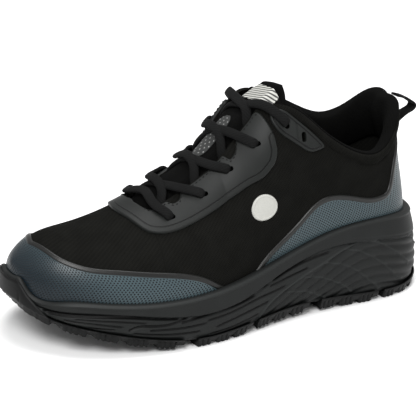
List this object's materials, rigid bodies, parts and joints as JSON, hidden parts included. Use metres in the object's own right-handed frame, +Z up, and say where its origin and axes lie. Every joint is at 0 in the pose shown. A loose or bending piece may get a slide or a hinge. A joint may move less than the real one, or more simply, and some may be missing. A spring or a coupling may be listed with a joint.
{
  "type": "work shoe",
  "caption": "Low lace-up work shoe for the left foot with a thick cushioned sole, lugged rubber pads, padded collar, tongue, laces and heel pull loop",
  "frame": {"origin": "on the floor under the middle of the shoe's bounding box", "axes": "+X towards the heel and -X towards the toe, -Y is the outer side of the left foot, +Z up"},
  "size_m": [0.3001, 0.1152, 0.1451],
  "materials": {
    "outsole_rubber": "matt black rubber with fine tread",
    "midsole_foam": "matt dark grey moulded foam",
    "upper_fabric": "near-black twill",
    "overlay_film": "blue-grey film, darker at the toe",
    "eyestay_synthetic": "matt dark grey synthetic",
    "lining_fabric": "soft black mesh over foam",
    "insole_fabric": "black cloth",
    "lace_cord": "flat black woven lace",
    "webbing": "black woven tape",
    "reflective_sheet": "light grey sheet"
  },
  "bodies": {
    "root": {"outsole_1": "outsole_rubber", "outsole_2": "outsole_rubber", "outsole_3": "outsole_rubber", "outsole_4": "outsole_rubber", "outsole_5": "outsole_rubber", "midsole": "midsole_foam", "upper": "upper_fabric", "toe_overlay": "overlay_film", "heel_overlay": "overlay_film", "eyestay": "eyestay_synthetic", "eyelet_tab_lateral": "eyestay_synthetic", "eyelet_tab_medial": "eyestay_synthetic", "collar_padding": "lining_fabric", "tongue": "lining_fabric", "insole": "insole_fabric", "lace_bar": "lace_cord", "lace_cross_1": "lace_cord", "lace_cross_2": "lace_cord", "lace_cross_3": "lace_cord", "lace_cross_4": "lace_cord", "pull_loop": "webbing", "heel_strip": "webbing", "tongue_label": "reflective_sheet", "tongue_patch": "reflective_sheet", "side_badge": "reflective_sheet"}
  },
  "joints": []
}
